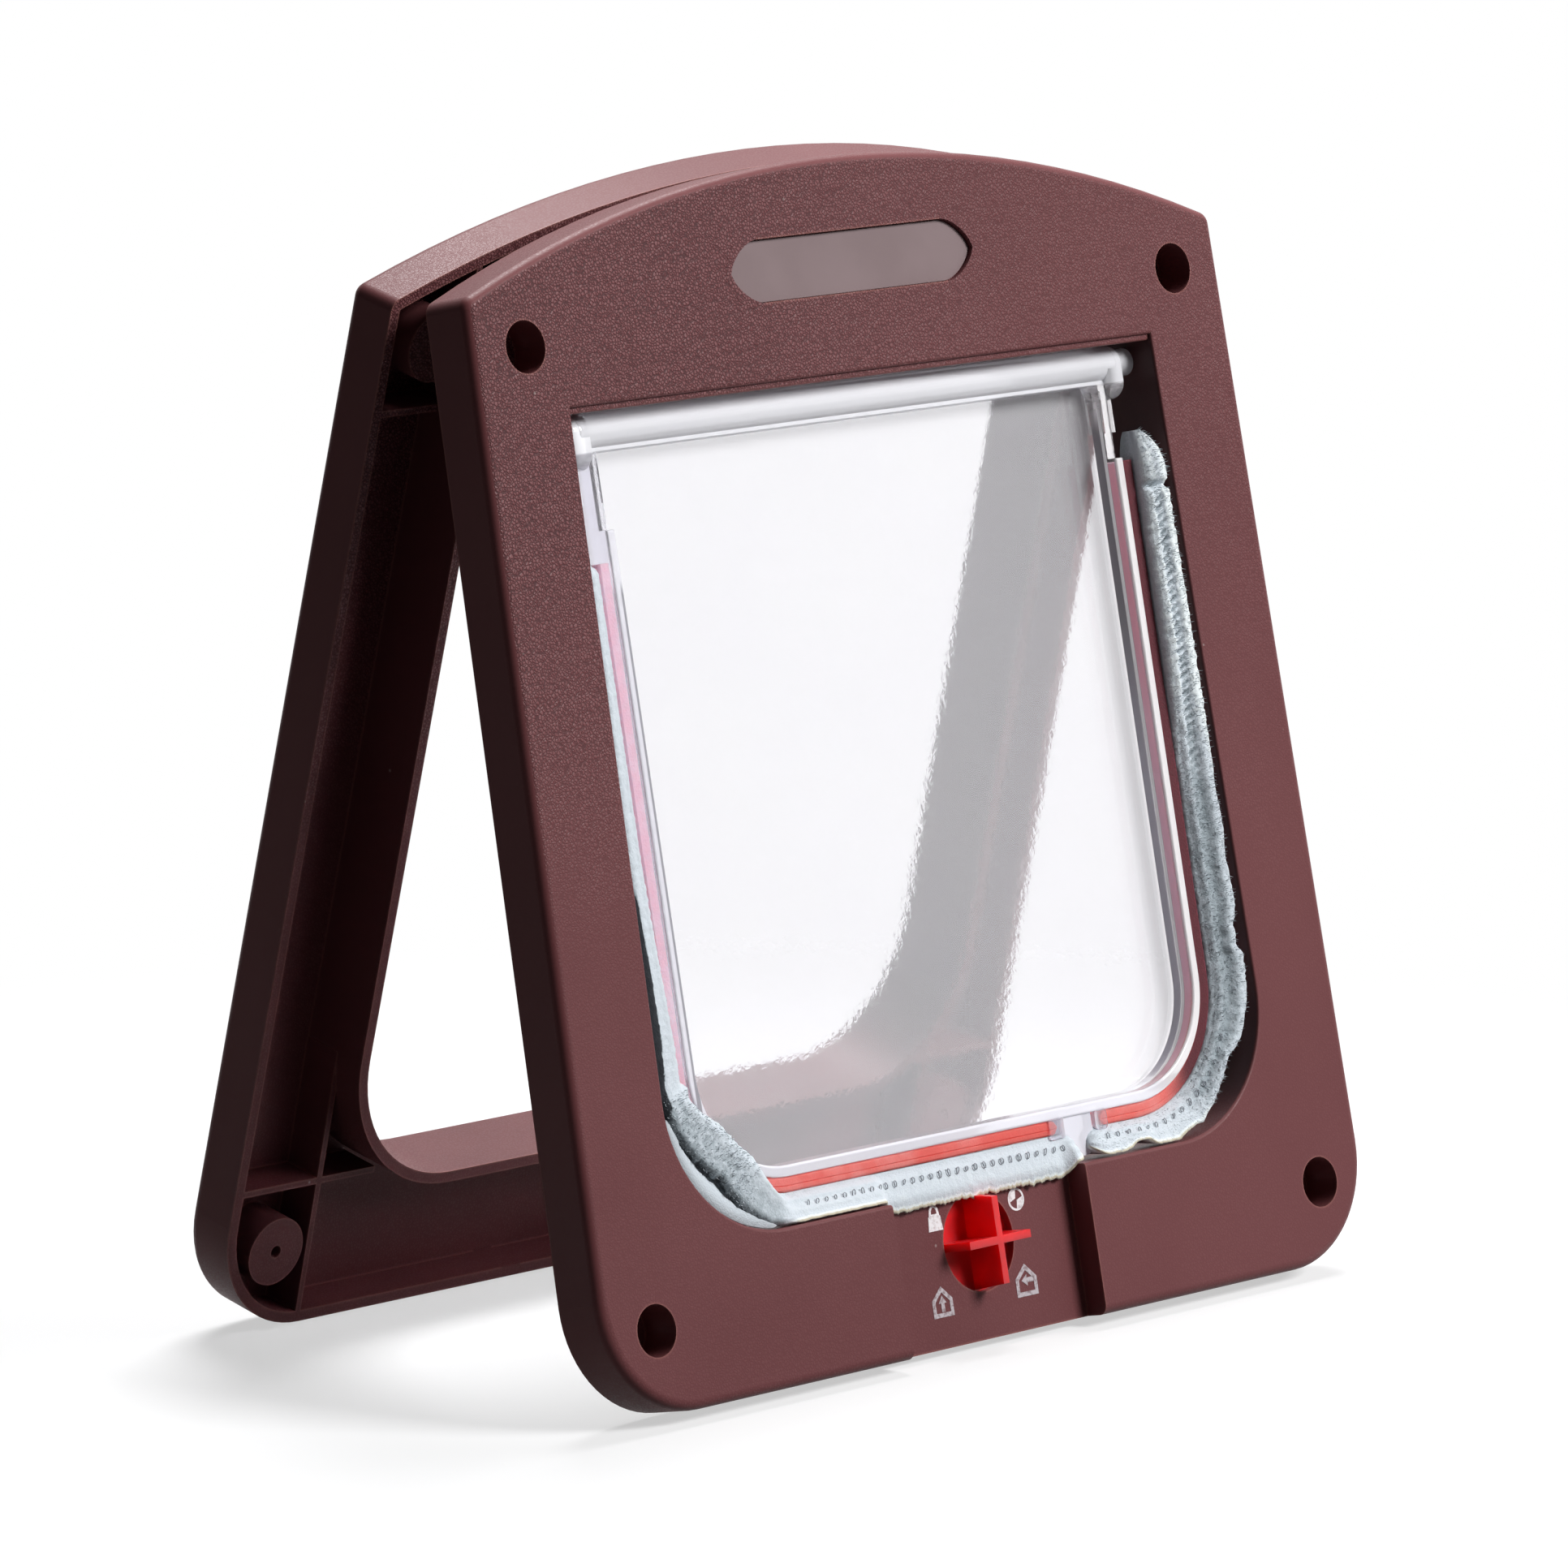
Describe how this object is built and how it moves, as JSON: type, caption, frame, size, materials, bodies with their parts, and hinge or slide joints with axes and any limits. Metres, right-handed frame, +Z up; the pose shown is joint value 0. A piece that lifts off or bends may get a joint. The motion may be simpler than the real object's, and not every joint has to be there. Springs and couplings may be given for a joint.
{
  "type": "pet_door",
  "caption": "Brown plastic pet door: two arched hollow frames leant together, a clear swinging flap edged with a pile seal, and a red rotary lock in the sill.",
  "frame": {"origin": "middle of the floor plane that both frames stand on", "axes": "X across the door, Y from the front frame to the rear frame, Z up"},
  "size_m": [0.1892, 0.108, 0.201],
  "materials": {
    "frame_plastic": "fine leather grain",
    "clear_plastic": "clear moulded",
    "tape_foam": "soft foam",
    "seal_pile": "short pile",
    "knob_plastic": "satin"
  },
  "bodies": {
    "frames": {"front_frame": "frame_plastic", "rear_frame": "frame_plastic"},
    "flap": {"flap": "clear_plastic", "left_tape": "tape_foam", "right_tape": "tape_foam", "left_pile": "seal_pile", "right_pile": "seal_pile"},
    "lock": {"lock_knob": "knob_plastic", "rear_cam": "knob_plastic"}
  },
  "joints": [
    {"name": "flap_hinge", "type": "hinge", "parent": "frames", "child": "flap", "pos_m": [0, -0.0114, 0.1594], "axis": [-1, 0, 0], "range_deg": [-80, 85]},
    {"name": "lock_turn", "type": "hinge", "parent": "frames", "child": "lock", "pos_m": [0, -0.04613, 0.01756], "axis": [0, -0.9759, 0.2181], "range_deg": [0, 270]}
  ]
}
